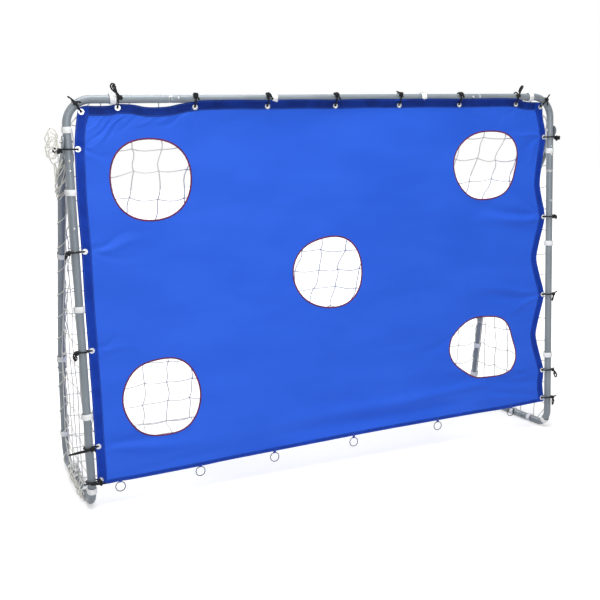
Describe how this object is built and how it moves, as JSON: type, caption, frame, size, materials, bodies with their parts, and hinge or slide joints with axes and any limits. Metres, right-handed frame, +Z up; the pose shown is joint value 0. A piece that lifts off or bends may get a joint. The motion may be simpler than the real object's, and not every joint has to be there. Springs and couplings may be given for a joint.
{
  "type": "garden football goal with a laced-in target sheet",
  "caption": "Steel-tube garden football goal with a net, a blue target sheet with round holes laced into the frame, and ground-peg rings along its lower edge.",
  "frame": {"origin": "on the ground in the middle of the goal's box", "axes": "+X along the crossbar to the right as the kicker sees it, +Y from the target sheet towards the back of the net, +Z up"},
  "size_m": [2.1646, 0.6353, 1.5316],
  "materials": {
    "frame_steel": "silver-grey powder coat",
    "zinc_steel": "bright zinc plate",
    "ring_steel": "dull zinc wire",
    "target_cloth": "coated woven cloth, slight sheen",
    "hem_cloth": "turned and sewn hem",
    "binding_tape": "narrow sewn tape",
    "eyelet_metal": "bright pressed metal",
    "tie_cord": "braided cord",
    "net_cord": "twisted cord",
    "strap_tape": "hook-and-loop tape"
  },
  "bodies": {
    "goal": {"corner_tube_left": "frame_steel", "corner_tube_right": "frame_steel", "crossbar_tube": "frame_steel", "post_sleeve_left": "zinc_steel", "post_sleeve_right": "zinc_steel", "post_tube_left": "frame_steel", "post_tube_right": "frame_steel", "base_tube_left": "frame_steel", "base_tube_right": "frame_steel", "stay_tube_left": "frame_steel", "stay_tube_right": "frame_steel", "crossbar_bolts": "zinc_steel", "crossbar_nuts": "zinc_steel", "post_bolts_left": "zinc_steel", "post_bolts_right": "zinc_steel", "post_nuts_left": "zinc_steel", "post_nuts_right": "zinc_steel", "base_bolts": "zinc_steel", "base_nuts": "zinc_steel", "stay_seam_bolts": "zinc_steel", "stay_seam_nuts": "zinc_steel", "stay_end_bolts": "zinc_steel", "stay_end_nuts": "zinc_steel", "stay_end_washers": "zinc_steel", "target_panel": "target_cloth", "hem_top": "hem_cloth", "hem_bottom": "hem_cloth", "hem_left": "hem_cloth", "hem_right": "hem_cloth", "hole_bindings": "binding_tape", "eyelets": "eyelet_metal", "top_ties": "tie_cord", "left_ties": "tie_cord", "right_ties": "tie_cord", "ring_tabs": "hem_cloth", "net_back": "net_cord", "net_side_left": "net_cord", "net_side_right": "net_cord", "net_skirt": "net_cord", "crossbar_straps": "strap_tape", "post_straps_left": "strap_tape", "post_straps_right": "strap_tape", "stay_straps_left": "strap_tape", "stay_straps_right": "strap_tape", "base_straps_left": "strap_tape", "base_straps_right": "strap_tape"},
    "peg_ring_1_body": {"peg_ring_1": "ring_steel"},
    "peg_ring_2_body": {"peg_ring_2": "ring_steel"},
    "peg_ring_3_body": {"peg_ring_3": "ring_steel"},
    "peg_ring_4_body": {"peg_ring_4": "ring_steel"},
    "peg_ring_5_body": {"peg_ring_5": "ring_steel"},
    "peg_ring_6_body": {"peg_ring_6": "ring_steel"}
  },
  "joints": [
    {"name": "ring_swing_1", "type": "hinge", "parent": "goal", "child": "peg_ring_1_body", "pos_m": [-0.943, -0.2938, 0.08874], "axis": [1, 0, 0], "range_deg": [-80, 80]},
    {"name": "ring_swing_2", "type": "hinge", "parent": "goal", "child": "peg_ring_2_body", "pos_m": [-0.627, -0.2938, 0.09489], "axis": [1, 0, 0], "range_deg": [-80, 80]},
    {"name": "ring_swing_3", "type": "hinge", "parent": "goal", "child": "peg_ring_3_body", "pos_m": [-0.313, -0.2938, 0.101], "axis": [1, 0, 0], "range_deg": [-80, 80]},
    {"name": "ring_swing_4", "type": "hinge", "parent": "goal", "child": "peg_ring_4_body", "pos_m": [0.046, -0.2938, 0.108], "axis": [1, 0, 0], "range_deg": [-80, 80]},
    {"name": "ring_swing_5", "type": "hinge", "parent": "goal", "child": "peg_ring_5_body", "pos_m": [0.458, -0.2938, 0.11602], "axis": [1, 0, 0], "range_deg": [-80, 80]},
    {"name": "ring_swing_6", "type": "hinge", "parent": "goal", "child": "peg_ring_6_body", "pos_m": [0.845, -0.2938, 0.12356], "axis": [1, 0, 0], "range_deg": [-80, 80]}
  ]
}
